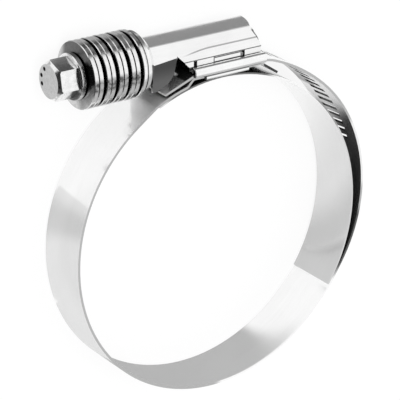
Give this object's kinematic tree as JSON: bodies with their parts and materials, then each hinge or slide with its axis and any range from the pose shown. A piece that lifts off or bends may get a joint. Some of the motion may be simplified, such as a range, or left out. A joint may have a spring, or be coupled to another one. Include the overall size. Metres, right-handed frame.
{
  "type": "exhaust pipe clamp",
  "caption": "Round band clamp for an exhaust pipe or large hose, closed by a worm screw whose stack of disc springs keeps the band tight.",
  "frame": {"origin": "centre of the clamped pipe, halfway along the band's width", "axes": "+Z along the pipe's axis, +Y from the pipe to the screw housing, the screw along X with its hex head towards -X"},
  "size_m": [0.0966, 0.1049, 0.0182],
  "materials": {
    "band_steel": "bright rolled stainless strip",
    "cover_steel": "bright stamped stainless sheet",
    "spring_steel": "tumbled stainless",
    "turned_steel": "turned and tumbled stainless"
  },
  "bodies": {
    "clamp": {"band": "band_steel", "liner": "band_steel", "saddle": "cover_steel", "housing": "cover_steel", "spring_seat": "turned_steel"},
    "screw": {"screw": "turned_steel"},
    "disc_spring_1": {"disc_spring_1": "spring_steel"},
    "disc_spring_2": {"disc_spring_2": "spring_steel"},
    "disc_spring_3": {"disc_spring_3": "spring_steel"},
    "disc_spring_4": {"disc_spring_4": "spring_steel"},
    "disc_spring_5": {"disc_spring_5": "spring_steel"},
    "disc_spring_6": {"disc_spring_6": "spring_steel"},
    "disc_spring_7": {"disc_spring_7": "spring_steel"},
    "disc_spring_8": {"disc_spring_8": "spring_steel"}
  },
  "joints": [
    {"name": "spring_travel", "type": "slide", "parent": "clamp", "child": "disc_spring_1", "axis": [1, 0, 0], "range_m": [0, 0.0021], "stiffness_N_per_m": 100000, "deforming": ["disc_spring_1", "disc_spring_2", "disc_spring_3", "disc_spring_4", "disc_spring_5", "disc_spring_6", "disc_spring_7", "disc_spring_8"]},
    {"name": "screw_turn", "type": "hinge", "parent": "disc_spring_1", "child": "screw", "pos_m": [0, 0.0507, 0], "axis": [1, 0, 0], "continuous": true},
    {"name": "disc_spring_2_travel", "type": "slide", "parent": "clamp", "child": "disc_spring_2", "axis": [1, 0, 0], "range_m": [0, 0.00185]},
    {"name": "disc_spring_3_travel", "type": "slide", "parent": "clamp", "child": "disc_spring_3", "axis": [1, 0, 0], "range_m": [0, 0.00159]},
    {"name": "disc_spring_4_travel", "type": "slide", "parent": "clamp", "child": "disc_spring_4", "axis": [1, 0, 0], "range_m": [0, 0.00132]},
    {"name": "disc_spring_5_travel", "type": "slide", "parent": "clamp", "child": "disc_spring_5", "axis": [1, 0, 0], "range_m": [0, 0.00106]},
    {"name": "disc_spring_6_travel", "type": "slide", "parent": "clamp", "child": "disc_spring_6", "axis": [1, 0, 0], "range_m": [0, 0.0007975]},
    {"name": "disc_spring_7_travel", "type": "slide", "parent": "clamp", "child": "disc_spring_7", "axis": [1, 0, 0], "range_m": [0, 0.000535]},
    {"name": "disc_spring_8_travel", "type": "slide", "parent": "clamp", "child": "disc_spring_8", "axis": [1, 0, 0], "range_m": [0, 0.0002725]}
  ],
  "couplings": [
    {"joint": "disc_spring_2_travel", "follows": "spring_travel", "ratio": 0.875},
    {"joint": "disc_spring_3_travel", "follows": "spring_travel", "ratio": 0.75},
    {"joint": "disc_spring_4_travel", "follows": "spring_travel", "ratio": 0.625},
    {"joint": "disc_spring_5_travel", "follows": "spring_travel", "ratio": 0.5},
    {"joint": "disc_spring_6_travel", "follows": "spring_travel", "ratio": 0.375},
    {"joint": "disc_spring_7_travel", "follows": "spring_travel", "ratio": 0.25},
    {"joint": "disc_spring_8_travel", "follows": "spring_travel", "ratio": 0.125}
  ]
}
